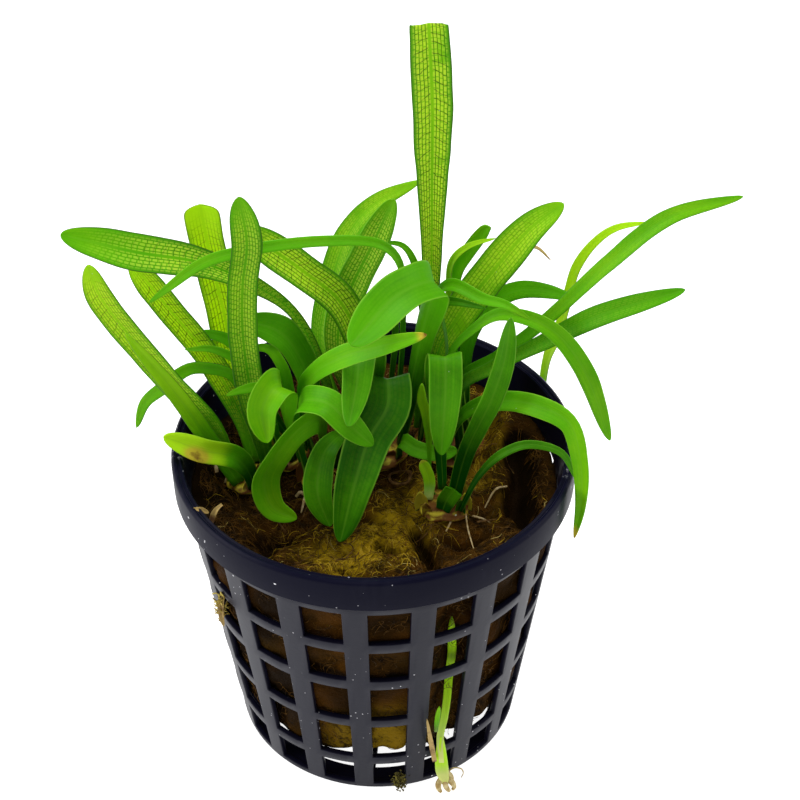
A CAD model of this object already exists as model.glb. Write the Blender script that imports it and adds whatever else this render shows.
"""Potted dwarf sagittaria: leaves and crowns on mineral wool in a dark net pot.

Lengths in the tables are millimetres. +Z is up, and the front of the pot faces -Y.
"""

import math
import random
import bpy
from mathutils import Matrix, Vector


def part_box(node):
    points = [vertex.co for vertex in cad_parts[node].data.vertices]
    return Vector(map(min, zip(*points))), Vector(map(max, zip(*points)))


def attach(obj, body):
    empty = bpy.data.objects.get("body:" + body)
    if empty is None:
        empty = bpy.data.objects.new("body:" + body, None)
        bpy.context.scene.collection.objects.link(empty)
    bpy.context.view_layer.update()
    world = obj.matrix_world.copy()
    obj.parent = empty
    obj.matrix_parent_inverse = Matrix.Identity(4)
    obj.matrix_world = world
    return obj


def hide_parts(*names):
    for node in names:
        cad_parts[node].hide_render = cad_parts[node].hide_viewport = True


bl_info = {
    "name": "Potted Dwarf Sagittaria",
    "version": (1, 0, 0),
    "blender": (4, 5, 0),
    "location": "View3D > Sidebar > Sagittaria",
    "description": "Grows a dwarf sagittaria on mineral wool in a net pot",
    "category": "Add Mesh",
}

import bmesh
import bpy
from bpy.props import FloatProperty, FloatVectorProperty, IntProperty, PointerProperty
from bpy.types import Operator, Panel, PropertyGroup
from mathutils import Matrix, Vector, noise

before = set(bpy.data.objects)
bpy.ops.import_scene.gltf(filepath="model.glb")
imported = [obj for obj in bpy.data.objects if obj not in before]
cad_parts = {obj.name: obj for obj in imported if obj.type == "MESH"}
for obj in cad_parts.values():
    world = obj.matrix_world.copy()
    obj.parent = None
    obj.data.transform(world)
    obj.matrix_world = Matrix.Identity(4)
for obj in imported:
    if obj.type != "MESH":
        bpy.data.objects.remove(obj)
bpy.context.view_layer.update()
POT_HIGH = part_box("net_pot")[1]
WOOL_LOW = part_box("wool_plug")[0]

MM = 0.001
MERGE = 1e-6  # metres within which two vertices are one
CURVE_STEPS = 300
LIGHT_SIDE = Vector((0, -0.775, 0.632))  # where the flat faces of the blades turn to
FOOT = 39.8  # height at which the leaves leave their crowns
CROWN_HEIGHT = 38.8
SHEATHS = 9  # sheaths round a crown

# Pot: columns of windows, the edges of their rows, the ring of openings in the floor, and its scuffs.
COLUMNS = 18
FIRST_COLUMN = 4.5
WINDOW_ANGLE = 12.6
WINDOW_CELLS, RIB_CELLS = 4, 3  # faces of the sheet across a window and across the rib beside it
ROW_EDGES = (0.9, 6, 7.7, 15.3, 16.9, 24.2, 26.1, 32.5, 34.3, 40.8)
BROKEN_RIB = (1, 7)  # column of windows, and row of faces of the sheet, where the cross rib is lost
FLOOR_INNER, FLOOR_OUTER, SPOKE_WIDTH = 8, 17.6, 2.5
FIRST_SPOKE, SPOKE_ANGLE = 34.5, 40
SPOKE_MIDDLE, SPOKE_CELLS = 12.5, 14  # where the first spoke stands, and the next, in faces of the sheet
SCUFFS = (((-26.9, -2.2, 46.5), 3), ((25.3, -6.8, 46.5), 3))  # centre, reach
EDGE_RADIUS = 0.22
SHARP_ANGLE = 0.6  # radians

# Wool: clefts as route, half width and depth, mounds as x, y, reach and height, and the grooves down
# its side as angle, spread in degrees and depth.
WOOL_TOP, WOOL_EDGE = 37.1, 36  # heights of its middle, and of the turned plug before it is lumped
STRAND_POINTS = 7
CLEFTS = (
    ([(19.6, 7.4), (20, 4.6), (19.8, -0.2), (19.8, -5.9), (20.6, -8.3)], 1.6, 5),
    ([(1.2, -10.4), (2.8, -10.8)], 0.9, 2.8),
    ([(5.6, -6.4), (6.6, -9.8), (7.6, -12.6), (7.8, -15.5)], 0.9, 3.2),
    ([(9.4, -9.6), (12.4, -10.4), (15, -9.4)], 0.7, 2),
    ([(-4.6, -15.4), (-2.4, -17.4), (1.6, -18)], 0.6, 1.6),
    ([(-1.2, -4), (0.6, -5)], 0.8, 1.6),
    ([(-12.5, -9), (-15, -11), (-14, -14)], 1.2, 1.8),
)
MOUNDS = ((1.5, -10, 5.5, 0.9), (12, -9, 4.5, 0.6), (-8, -13, 3, 0.5), (18, 8, 4, 1))
GROOVES = ((28, 6, 2.4), (96, 9, 2.6))
GOLDEN_RIDGE = ((-5.5, -13), (1, -9.5), (4, -4.5), (8, 0))  # where the wool is lightest

# Crowns: x, y and radius.
CROWNS = {
    "crown_left": (-17.8, 2.8, 3.1),
    "crown_front_left": (-12.6, 7.6, 3.2),
    "crown_front": (-7.6, 3, 2.9),
    "crown_middle": (-0.2, 9, 5),
    "crown_right": (9.6, -2.8, 3.6),
    "crown_back": (10.4, 10.2, 5),
}

# Leaves. route, wide, foot, neck, full, tip, blunt, torn and turn give the shape: foot, full and neck
# are the width at the foot, where the blade is widest and where it starts to widen, tip is the length
# of the rounded end, blunt how square it is, torn the width kept where the tip is missing, and turn
# the blade's angle about its midrib. tone runs from deep green to yellow-green and ripe is what it
# gains along the leaf. net is how clearly the net of veins shows, up to plain, the share of the leaf
# before its tip where it fades. glow is how much light comes through, age how yellow or brown the
# tip is from sound on, pale how white the foot is, and spots a yellow and brown blotch. fold is how
# far the sides are lifted, and thick the thickness at the foot. PLAIN_LEAF has what a leaf leaves out.
MARKS = ("side", "run", "tone", "net", "glow", "age", "pale")
PLAIN_LEAF = dict(
    foot=0.5, neck=0, full=0.5, tip=0.3, blunt=2, torn=0, turn=(0, 0), fold=0.07, thick=0.75,
    tone=0.5, ripe=0, net=0.02, plain=0.15, glow=0.3, age=0, sound=0.9, pale=0, spots=0,
)
LEAVES = {
    "leaf_left_upright": dict(
        route=[(-20, 3.6, FOOT), (-22, 4, 46.5), (-28.5, 4, 57), (-35, 3, 70), (-36, 2.5, 75.5)],
        wide=3.6, full=0.3, tip=0.18, tone=0.8, net=0.8, glow=0.5,
    ),
    "leaf_left_strap": dict(
        route=[(-19, 0.8, FOOT), (-23, 1, 48.5), (-26.5, 0.5, 56.5), (-29, -0.5, 62), (-31.5, -2, 68)],
        wide=2.6, foot=0.75, full=0.3, tip=0.6, blunt=1.4, tone=0.72, net=0.03, glow=0.35,
    ),
    "leaf_yellow_tipped": dict(
        route=[
            (-17, 0.4, FOOT), (-17.5, -1, 44), (-19, -1.5, 46.5), (-23, -3, 49), (-25, -3, 50),
            (-28, -3, 51.5),
        ],
        wide=3.3, foot=0.6, tone=0.4, ripe=0.95, net=0.03, spots=0.8,
    ),
    "leaf_left_veined": dict(
        route=[(-17, 5.2, FOOT), (-18.8, 7.5, 47), (-22.9, 9, 56), (-28, 9.5, 64.5), (-31.9, 10, 71)],
        wide=3.6, full=0.4, tip=0.15, tone=0.84, net=1, glow=0.6,
    ),
    "leaf_left_drooping": dict(
        route=[
            (-15.2, 5, FOOT), (-17.5, 6.5, 49.5), (-19.5, 6.5, 54.5), (-22, 6.5, 55.5), (-25, 6.5, 55.5),
            (-29, 6, 52.5), (-31.5, 6, 50), (-33, 5.5, 46),
        ],
        wide=1.9, full=0.8, net=0.05, glow=0.35,
    ),
    "leaf_upright_front": dict(
        route=[
            (-14.6, 2.6, FOOT), (-16.5, 3, 54), (-17, 3, 64), (-16.5, 2.5, 72), (-15.5, 2, 79),
            (-16, 1, 86.5),
        ],
        wide=3.9, full=0.35, tip=0.14, tone=0.54, net=0.65, glow=0.45,
    ),
    "leaf_left_edge_on": dict(
        route=[(-13.4, 7.4, FOOT), (-16.5, 6.8, 52.5), (-19, 7.4, 56.5), (-22, 7.6, 58), (-25.5, 7.5, 58)],
        wide=1.3, foot=0.7, tip=0.4,
    ),
    "leaf_left_behind": dict(
        route=[(-12, 9.4, FOOT), (-17, 10, 50.5), (-19.5, 11, 56.5), (-22.5, 11, 58), (-25, 11, 58)],
        wide=1.9, foot=0.6, tip=0.4, tone=0.4,
    ),
    "leaf_blunt": dict(
        route=[
            (-14, 9.8, FOOT), (-19, 12.5, 49.5), (-20.5, 13, 60.5), (-21.6, 12.5, 70), (-22.2, 11.5, 78.7),
        ],
        wide=4.7, full=0.45, tip=0.07, blunt=5, tone=0.9, net=0.9, glow=0.7, plain=0.2,
    ),
    "leaf_small_left": dict(
        route=[(-12.8, 4.4, FOOT), (-14.3, 1.8, 53), (-15.5, 1, 56.5), (-17.5, 0.5, 56.5), (-19.5, 0, 56)],
        wide=1.9, foot=0.7, tip=0.5,
    ),
    "leaf_olive_arch": dict(
        route=[(-11.6, 5.6, FOOT), (-11.5, 4.6, 53), (-12.3, 4.6, 57.5), (-14, 5, 60), (-17, 5, 60)],
        wide=1.7, foot=0.8, full=0.4, tip=0.4, tone=0.45, age=0.2,
    ),
    "leaf_dark_arch": dict(
        route=[
            (-10.6, 7.8, FOOT), (-9, 7.5, 52.5), (-9.9, 7.4, 56.5), (-12, 6.8, 61), (-14.5, 6.2, 63),
            (-17.5, 5.5, 64),
        ],
        wide=4.4, tip=0.25, full=0.45, tone=0.32,
    ),
    "leaf_curled": dict(
        route=[
            (-9.8, 3.6, FOOT), (-12, 2.2, 51.5), (-11.8, 0.8, 57), (-13, -1.5, 58.5), (-14.5, -3.5, 56.5),
            (-14, -5, 52),
        ],
        wide=4.4, foot=0.4, full=0.55, tip=0.28, tone=0.55, glow=0.25, fold=0.16,
    ),
    "leaf_front_left": dict(
        route=[
            (-7.4, 2.6, FOOT), (-7, 0, 50.5), (-7.4, -2.6, 54), (-9.8, -5.2, 54.2), (-12.5, -6.8, 51.5),
            (-14.5, -7.5, 47.5), (-13.5, -8, 43), (-10.5, -8, 41),
        ],
        wide=4.4, foot=0.35, glow=0.2,
    ),
    "leaf_front_middle": dict(
        route=[
            (-9.2, 1.2, FOOT), (-10.2, -0.5, 51.8), (-9.5, -1.9, 56.3), (-8, -3.8, 58.3), (-5.5, -5.6, 58.9),
            (-2.5, -7, 56), (0, -7.5, 53.5),
        ],
        wide=3.9, foot=0.35, full=0.6, tip=0.25, tone=0.36, glow=0.25,
    ),
    "leaf_hanging_left": dict(
        route=[
            (-5.6, 4.2, FOOT), (-4.4, 1.6, 47), (-4.9, -2, 50.2), (-6.6, -5, 50), (-7.5, -8, 46),
            (-6, -9.5, 41),
        ],
        wide=4, foot=0.3, neck=0.3, full=0.75, tone=0.22, glow=0.15,
    ),
    "leaf_brown_tipped": dict(
        route=[
            (-8.4, 4.8, FOOT), (-9.8, 2.8, 54), (-7.5, 0.2, 59.7), (-3, -3.5, 65.4), (1.5, -5.4, 68.3),
            (7, -6.2, 70.6),
        ],
        wide=3, foot=0.4, full=0.75, tip=0.35, glow=0.25, age=0.75, sound=0.95,
    ),
    "leaf_broad_left": dict(
        route=[
            (-4.4, 8.8, FOOT), (-8.4, 10.4, 56.5), (-11.2, 10.3, 62.5), (-15.5, 9, 67.5), (-22, 8.5, 71.5),
            (-30.5, 8, 73.7), (-40, 7.5, 76.9),
        ],
        wide=5.1, foot=0.3, neck=0.4, full=0.85, tip=0.2, tone=0.52, net=0.75, glow=0.45, plain=0.3,
    ),
    "leaf_diagonal": dict(
        route=[
            (0.4, 10.8, FOOT), (-2, 11, 57), (-4.5, 11, 63.5), (-8.5, 10, 68.5), (-12.5, 9.5, 72.5),
            (-17, 9, 76.5),
        ],
        wide=4.7, full=0.45, tip=0.15, tone=0.72, net=0.95, glow=0.5,
    ),
    "leaf_light_arch": dict(
        route=[
            (-3.6, 12, FOOT), (-7.5, 14.4, 53), (-6, 15.4, 62), (-3, 15.5, 71.5), (0.5, 15.5, 76),
            (6.5, 15.5, 79.5),
        ],
        wide=3.8, foot=0.4, full=0.6, tip=0.5, blunt=1.5, tone=0.64, net=0.3, glow=0.45,
    ),
    "leaf_back_broad": dict(
        route=[(-1.4, 12.4, FOOT), (-5, 12.9, 54.5), (-3.2, 13.4, 63), (0, 12.9, 71), (3, 12, 79)],
        wide=4.4, foot=0.4, tip=0.25, net=0.5, glow=0.27,
    ),
    "leaf_long_arch": dict(
        route=[
            (2.8, 11, FOOT), (4, 10, 59), (3.5, 9.5, 71), (1, 9, 74), (-6.5, 7.5, 75.5), (-16, 5.5, 75.5),
            (-21.5, 5, 74), (-29, 4, 68.5),
        ],
        wide=1.6, foot=0.6, full=0.9, tip=0.2, tone=0.45, net=0.03, glow=0.25,
    ),
    "leaf_top_front": dict(
        route=[
            (3.6, 8.6, FOOT), (7, 7.5, 61), (8.5, 5.5, 70), (7, 2.5, 72.5), (3, -1.5, 73), (-2.5, -7.5, 70),
        ],
        wide=5.6, foot=0.35, full=0.65, tip=0.15, tone=0.39,
    ),
    "leaf_hanging_small": dict(
        route=[
            (-2.6, 6.6, FOOT), (-0.5, 3.5, 56.5), (-0.5, 1.5, 63), (-1.5, -1, 63.5), (-2, -4.8, 61.3),
            (-3, -9, 58),
        ],
        wide=4.4, foot=0.35, full=0.6, tone=0.24, glow=0.2,
    ),
    "leaf_front_long": dict(
        route=[
            (0.4, 6.2, FOOT), (2, 2.5, 53), (2, 0.5, 58.5), (2, -3, 56.5), (-0.5, -5.5, 53), (-2.5, -9, 48),
            (-4.5, -12, 40.5),
        ],
        wide=6, foot=0.3, tip=0.4, tone=0.13, glow=0.15,
    ),
    "leaf_low": dict(
        route=[(3.4, 6.4, FOOT), (4, 4.5, 44), (5.5, 3.5, 43.5), (8.5, 3, 43), (11.5, 3, 43.5)],
        wide=2.3, foot=0.8, full=0.4, tip=0.2, tone=0.35, glow=0.2,
    ),
    "leaf_spoon": dict(
        route=[(7.6, -0.4, FOOT), (7.5, 0.5, 47.5), (7, 0, 53), (6.5, -0.5, 55.5), (6.5, -1, 58.5)],
        wide=1.5, foot=0.25, full=0.9, tone=0.62, glow=0.25,
    ),
    "leaf_hanging_front": dict(
        route=[
            (9.4, -0.8, FOOT), (9, 1.5, 48.5), (9, 1, 59.5), (9.5, -1.5, 63.5), (9.5, -4, 59.5),
            (9, -6, 50.5),
        ],
        wide=4.4, foot=0.3, full=0.6, tone=0.26, glow=0.2,
    ),
    "stub_yellow": dict(
        route=[(7.4, -3, FOOT), (7.5, -1.8, 42.5), (6.5, -0.8, 45)],
        wide=1.6, foot=0.8, tip=0.2, tone=0.7, glow=0.2, age=0.3, pale=0.6,
    ),
    "sheath_right": dict(
        route=[(9.4, -5, FOOT), (9.8, -5.2, 41.5), (10.8, -5.4, 43.6)],
        wide=2.6, foot=0.8, tip=0, torn=1, tone=0.25, glow=0.1,
    ),
    "leaf_right_upright": dict(
        route=[(10.6, -3.6, FOOT), (12.5, -4, 49.5), (15.5, -4.5, 58.5), (17, -5, 65.5), (17.5, -6, 73)],
        wide=2.8, foot=0.7, tip=0.35, tone=0.25, glow=0.2,
    ),
    "leaf_right_low_arch": dict(
        route=[
            (11.8, -5.2, FOOT), (14, -5, 45.5), (17, -6, 50.5), (20.5, -7, 53), (24.5, -8, 52.5),
            (27, -8, 47.4),
        ],
        wide=1.2, foot=0.6, tip=0.5, tone=0.26, glow=0.25,
    ),
    "leaf_right_drooping": dict(
        route=[
            (9.6, 5.8, FOOT), (12.5, 2, 51), (17, -1, 55.5), (21.5, -4.5, 57.5), (25.5, -7.5, 57),
            (27, -9.5, 52.5), (27.5, -10, 45.5), (27, -9.5, 38.5),
        ],
        wide=3.2, foot=0.4, full=0.6, tip=0.5, blunt=1.2, turn=(0, 40),
        tone=0.54, age=0.5, sound=0.93,
    ),
    "leaf_right_arch": dict(
        route=[
            (7.6, 7.4, FOOT), (10.5, 6, 58), (13, 5, 62.5), (17, 3.5, 66.5), (22.7, 1.5, 66),
            (27.4, 0, 60.8), (31.8, -2, 49.3),
        ],
        wide=2.7, foot=0.4, neck=0.3, full=0.85, tip=0.25, tone=0.52,
    ),
    "leaf_grey_green": dict(
        route=[
            (6.4, 9.6, FOOT), (8, 9, 58), (8.5, 7.5, 66.5), (10.5, 6, 69.5), (14.5, 3.5, 69), (17.5, 2, 69),
            (20.5, 1, 67.5),
        ],
        wide=1.9, foot=0.6, tip=0.4, tone=0.42, glow=0.2, age=0.1,
    ),
    "leaf_shaded": dict(
        route=[(9.6, 8.2, FOOT), (10, 9, 57.5), (9.4, 8.2, 65), (11, 7, 66), (15, 5.5, 66)],
        wide=1.6, foot=0.6, tip=0.4, tone=0.2, glow=0.15,
    ),
    "leaf_broad_right": dict(
        route=[
            (9, 11.4, FOOT), (9, 11.2, 54.5), (11.5, 11.5, 60), (16, 11.5, 67.5), (21, 11, 75),
            (25, 10.5, 79),
        ],
        wide=5, foot=0.4, full=0.6, tone=0.68, net=0.45, glow=0.5,
    ),
    "leaf_right_short": dict(
        route=[
            (13.2, 11.4, FOOT), (13.5, 13.5, 55.5), (17, 13.5, 61.5), (20, 13, 63.5), (23.5, 12, 64),
            (27.4, 10.8, 63.6),
        ],
        wide=2.7, tip=0.35, tone=0.45, net=0.05, glow=0.35,
    ),
    "leaf_back_light": dict(
        route=[(9.6, 14.2, FOOT), (10.4, 14, 61), (10.8, 13.6, 68), (13, 13.5, 70.5), (16.5, 13, 72)],
        wide=1.4, foot=0.6, tip=0.5, tone=0.75, glow=0.45,
    ),
    "leaf_back_torn": dict(
        route=[(11.6, 13.6, FOOT), (11, 15.5, 58.5), (11.5, 15.5, 65), (13, 15, 68.5), (15.5, 14.5, 73)],
        wide=2, foot=0.6, tip=0.1, tone=0.55, glow=0.4, torn=0.4,
    ),
    "leaf_tall_torn": dict(
        route=[
            (6.8, 12.6, FOOT), (7.5, 13, 57), (8, 13, 68), (8, 13, 80.5), (8, 12.5, 92.5), (7.5, 12, 104),
        ],
        wide=5.2, neck=0.4, full=0.85, tip=0.15, torn=0.9, tone=0.69, net=1, glow=0.48, plain=0,
    ),
    "leaf_back_thin": dict(
        route=[(7.4, 14.4, FOOT), (7, 15.5, 57), (5.5, 15.5, 67), (4, 16, 69), (1, 16, 69.5)],
        wide=1.2, foot=0.8, tip=0.4, glow=0.35,
    ),
    "leaf_right_long": dict(
        route=[
            (13.6, 8.6, FOOT), (12.5, 8.5, 52), (17, 7.5, 56.5), (23, 6, 63.5), (30.5, 4, 74),
            (37.5, 2, 82.5), (46, 1, 86),
        ],
        wide=2.4, foot=0.6, neck=0.2, full=0.85, tone=0.56, net=0.08, glow=0.4,
    ),
    "leaf_right_low": dict(
        route=[(12.2, 7, FOOT), (12, 6, 52.5), (16, 6, 55.5), (23, 4, 61.6), (29.5, 2, 67.2), (40, 0, 72.7)],
        wide=3, foot=0.6, neck=0.4, full=0.8, tone=0.34, net=0.1, glow=0.35,
    ),
    "leaf_back_edge": dict(
        route=[(1.4, 12.8, FOOT), (3, 14.5, 56), (2, 14, 62), (0.5, 14, 62.5), (-2, 14, 61)],
        wide=1.3, foot=0.8, tip=0.4, tone=0.25, glow=0.2,
    ),
    "leaf_outside_right": dict(
        route=[
            (20.4, 13.9, 29.6), (22.8, 16.2, 33), (24.4, 20, 38), (24.8, 21, 42.5), (25.2, 20.4, 46.5),
            (26.2, 18.4, 52), (27, 16, 60), (27.8, 14.8, 66), (29.8, 14, 70.4), (32.5, 13, 73.5),
            (36.5, 12, 75),
        ],
        wide=1.8, foot=0.7, full=0.4, tip=0.5, tone=1, net=0.15, glow=0.6,
    ),
}

# The young shoot at the front, with the same words, and the dry pieces.
SHOOT = {
    "shoot_leaf": dict(
        route=[
            (9, -21.2, 6.5), (8.8, -21.7, 12.5), (9.3, -21.5, 16), (9.7, -20.1, 18.5), (10, -18.9, 22),
            (10.3, -19.3, 27), (10.2, -20.2, 32), (10.2, -20.8, 35),
        ],
        wide=1.2, foot=0.8, full=0.6, tip=0.2, tone=1.05, glow=0.5, pale=1.1, thick=0.9,
    ),
    "shoot_small_leaf": dict(
        route=[(8.2, -22.4, 14.4), (8.3, -22.5, 16.5), (8.6, -22.4, 19.2)],
        wide=0.7, foot=0.8, tip=0.4, tone=0.6, pale=0.2,
    ),
}
SHOOT_BASE = dict(
    route=[(9.6, -20.3, 1.4), (9.2, -20.9, 3.6), (9, -21.2, 6.5), (8.9, -21.5, 10), (8.9, -21.6, 12.5)],
    wide=1.9, foot=0.8, full=0.3, tip=0.75, blunt=1.5, tone=1, glow=0.2, pale=1.6, thick=1.9, fold=0.02,
)
SHOOT_ROOTS = (
    ([(10.1, -19.8, 2.4), (10.9, -20.3, 3.8), (11.8, -20.3, 3.6), (12.2, -20, 2.2), (11.9, -20, 1.2)], 0.1),
    ([(9.8, -20.6, 2), (10.5, -20.9, 1.4), (10.9, -21.2, 0.6), (10.6, -21.4, 0.25)], 0.4),
    ([(9, -20.8, 2), (8.6, -21.3, 1.5), (8.7, -21.8, 0.9), (9, -22, 0.5)], 0.42),
    ([(9.5, -20.8, 1.8), (9.7, -21.5, 1.1), (10.2, -21.9, 0.5)], 0.42),
    ([(9.8, -20.4, 3), (10.4, -20.7, 2.6), (10.7, -21, 2)], 0.34),
)
DRY = {
    "leaf_withered": dict(
        route=[(12.4, 14, FOOT), (15.6, 15.6, 61), (20, 14, 69.5), (22, 13, 70.5), (24, 12, 69)],
        wide=0.9, foot=0.8, tip=0.5,
    ),
    "shoot_sheath": dict(
        route=[(8, -22, 7.6), (7.5, -22.6, 12), (6.9, -23, 17.4)], wide=0.75, foot=0.9, tip=0.7, blunt=1.3,
    ),
}

# Litter. Roots on the wool: x, y and height above it along the root, and its radius.
PALE_ROOTS = (
    ([(11.2, -3.7, 0.6), (10.6, -5.6, 0.5), (9.7, -7.7, 0.3)], 0.2),
    ([(12.6, -2.9, 0.4), (12.5, -5.2, 0.5), (12.7, -7.3, 0.3), (13.3, -12.2, 0.2)], 0.11),
    ([(18.4, 0.8, 0.8), (16.8, -0.4, 1), (15.2, -2.2, 0.4)], 0.16),
    ([(-11, -0.3, 0.1), (-10.4, 0, 0.9), (-9.7, -0.4, 0.9), (-9.8, -1.6, 0.6), (-10.2, -3, 0.1)], 0.24),
    ([(-20.5, 4.9, 0.3), (-20.9, 4, 0.9), (-21.2, 3.2, 0.4)], 0.22),
    ([(-22.2, 3.2, 0.4), (-22.3, 3.8, 0.8)], 0.3),
    ([(13.4, -5, 0.7), (14.8, -5.2, 1), (15.8, -5, 0.4)], 0.14),
)
DARK_ROOTS = (
    ([(7.4, -1.7, 0.7), (9, -1.9, 0.9), (10.8, -2.2, 0.5)], 0.42),
    ([(12.1, -0.3, 0.5), (12.4, -0.1, 0.6)], 0.4),
    ([
        (3.5, 5.5, 0.2), (5, 4.4, 0.5), (4.4, 2.6, 0.7), (2.4, 2.5, 0.7), (2.1, 4.4, 0.8), (3.4, 4.9, 0.9),
    ], 0.26),
    ([(14, -6.2, 0.4), (15.6, -6, 0.8), (16.8, -5, 0.5)], 0.14),
    ([(-12.5, -3.2, 0.2), (-13.4, -4.8, 0.6), (-12.2, -6.3, 0.2)], 0.16),
)
# Flakes: route and width. Tufts: name, centre, spread, length of a piece of stem, count.
FLAKES = (
    ([(-23.4, -13.3, 47.9), (-22.6, -13.3, 47.8), (-21.5, -13, 46.9)], 0.7),
    ([(-19.8, -12.2, 47.6), (-20.6, -13, 47.3), (-21.1, -13.5, 46.2), (-21.2, -13.9, 45)], 0.8),
    ([(-1.5, 4, 61.5), (0, 2.6, 63), (2, 2, 65)], 0.7),
    ([(-20.4, -13.9, 33.2), (-20.9, -15.2, 31), (-20.6, -15.9, 28.6)], 0.8),
)
TUFTS = (
    ("moss", (3.1, -21.2, 1.9), (1.2, 0.7, 1.8), 0.09, 240),
    ("straw", (-20.9, -14.6, 31), (0.55, 0.4, 3.2), 0.3, 60),
)

# Tints of the finishes that the settings don't hold, and pairs of a dark and a light tint.
PLASTIC_HAZE = (0.13, 0.13, 0.17, 1)
WARM_WOOL = (0.085, 0.032, 0.003, 1)
LEAF_TINTS = dict(
    cell=(0.85, 0.95, 0.09, 1), vein=(0.02, 0.1, 0.002, 1), midrib=(0.2, 0.46, 0.03, 1),
    light_margin=(0.26, 0.5, 0.04, 1), dark_margin=(0.05, 0.12, 0.01, 1), foot=(0.62, 0.68, 0.19, 1),
    yellow=(0.5, 0.42, 0.03, 1), brown=(0.14, 0.055, 0.012, 1), dust=(0.6, 0.7, 0.5, 1),
    green_light=(0.16, 0.66, 0.004, 1), yellow_light=(0.66, 0.88, 0.03, 1),
)
DRY_TINTS = ((0.3, 0.18, 0.04, 1), (0.52, 0.38, 0.12, 1), (0.14, 0.06, 0.015, 1))  # fibre twice, blot
STRAND_TINTS = {
    "brown": ((0.02, 0.009, 0.001, 1), (0.11, 0.05, 0.006, 1)),
    "gold": ((0.13, 0.075, 0.004, 1), (0.5, 0.33, 0.02, 1)),
    "pale": ((0.3, 0.22, 0.05, 1), (0.6, 0.48, 0.16, 1)),
}
ROOT_TINTS = {
    "Shoot roots": ((0.4, 0.27, 0.09, 1), (0.72, 0.6, 0.32, 1)),
    "Pale roots": ((0.3, 0.2, 0.08, 1), (0.6, 0.48, 0.26, 1)),
    "Dark roots": ((0.05, 0.022, 0.006, 1), (0.16, 0.085, 0.02, 1)),
    "Moss": ((0.03, 0.024, 0.004, 1), (0.2, 0.17, 0.03, 1)),
    "Straw": ((0.2, 0.13, 0.01, 1), (0.62, 0.5, 0.12, 1)),
}

# Stage: the camera as fitted to the photograph, with its focal length in pixels of a square frame,
# and the lights as name, place, size and share of the key light's strength. Its lengths are metres,
# but for CAMERA_TARGET.
ELEVATION, ROLL = 39.2, -0.5
CAMERA_TARGET, CAMERA_DISTANCE = (3.6, 0, 55), 0.24
FOCAL_PIXELS, FRAME_PIXELS = 1799, 800
LIGHT_TARGET = (0, 0, 0.05)
LIGHTS = (
    ("Overhead", (0.05, 0.12, 0.75), 0.45, 1),
    ("Left", (-0.75, -0.1, 0.3), 0.5, 0.95),
    ("Right", (0.75, 0.05, 0.35), 0.45, 0.4),
    ("Front", (-0.1, -0.8, 0.75), 0.4, 0.25),
)
WORLD_LIGHT = 0.2
FLOOR_GLOW = 0.9
FLOOR_HALF = 4  # metres


def length_setting(name, description, default, precision=4):
    return FloatProperty(
        name=name, description=description, default=default, unit="LENGTH", precision=precision
    )


def colour_setting(name, description, *default):
    return FloatVectorProperty(
        name=name, description=description, subtype="COLOR", size=4, default=(*default, 1)
    )


class PotSettings(PropertyGroup):
    rim_radius: length_setting("Rim radius", "Outer radius of the rim", POT_HIGH.y)
    height: length_setting("Height", "From the foot to the rim", POT_HIGH.z)
    foot_radius: length_setting("Foot radius", "Outer radius of the foot", 0.0206)
    wall_top_radius: length_setting("Wall radius", "Outer radius of the wall under the band", 0.0263)
    band: length_setting("Band", "Height of the rim band", 0.005)
    wall: length_setting("Wall", "Thickness of the wall", 0.0008)
    plastic: colour_setting("Plastic", "Colour of the moulded plastic", 0.0035, 0.0035, 0.012)
    dust: colour_setting("Dust", "Colour of the specks", 0.7, 0.7, 0.74)


class WoolSettings(PropertyGroup):
    fibres: IntProperty(name="Fibres", description="Strands on the top of the wool", default=6400)
    side_fibres: IntProperty(name="Side fibres", description="Strands behind the windows", default=2600)
    strand: length_setting("Strand radius", "Radius of one strand", 0.000034, 6)
    dark: colour_setting("Dark wool", "Colour of wet wool in its hollows", 0.008, 0.004, 0.0012)
    brown: colour_setting("Brown wool", "Colour of most of the wool", 0.055, 0.024, 0.003)
    golden: colour_setting("Golden wool", "Colour of the wool at the front", 0.38, 0.245, 0.008)


class LeafSettings(PropertyGroup):
    thickness: length_setting("Thickness", "Thickness of a blade", 0.0003, 5)
    deep: colour_setting("Deep green", "Colour of the shaded blades", 0.003, 0.07, 0.0005)
    fresh: colour_setting("Fresh green", "Colour of most blades", 0.095, 0.4, 0.002)
    bright: colour_setting("Bright green", "Colour of the thinnest blades", 0.44, 0.78, 0.01)


class StageSettings(PropertyGroup):
    floor: colour_setting("Floor", "Colour of the floor", 0.5, 0.5, 0.5)
    key: FloatProperty(
        name="Key light", description="Strength of the light from above", default=5.4, unit="POWER"
    )


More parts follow.
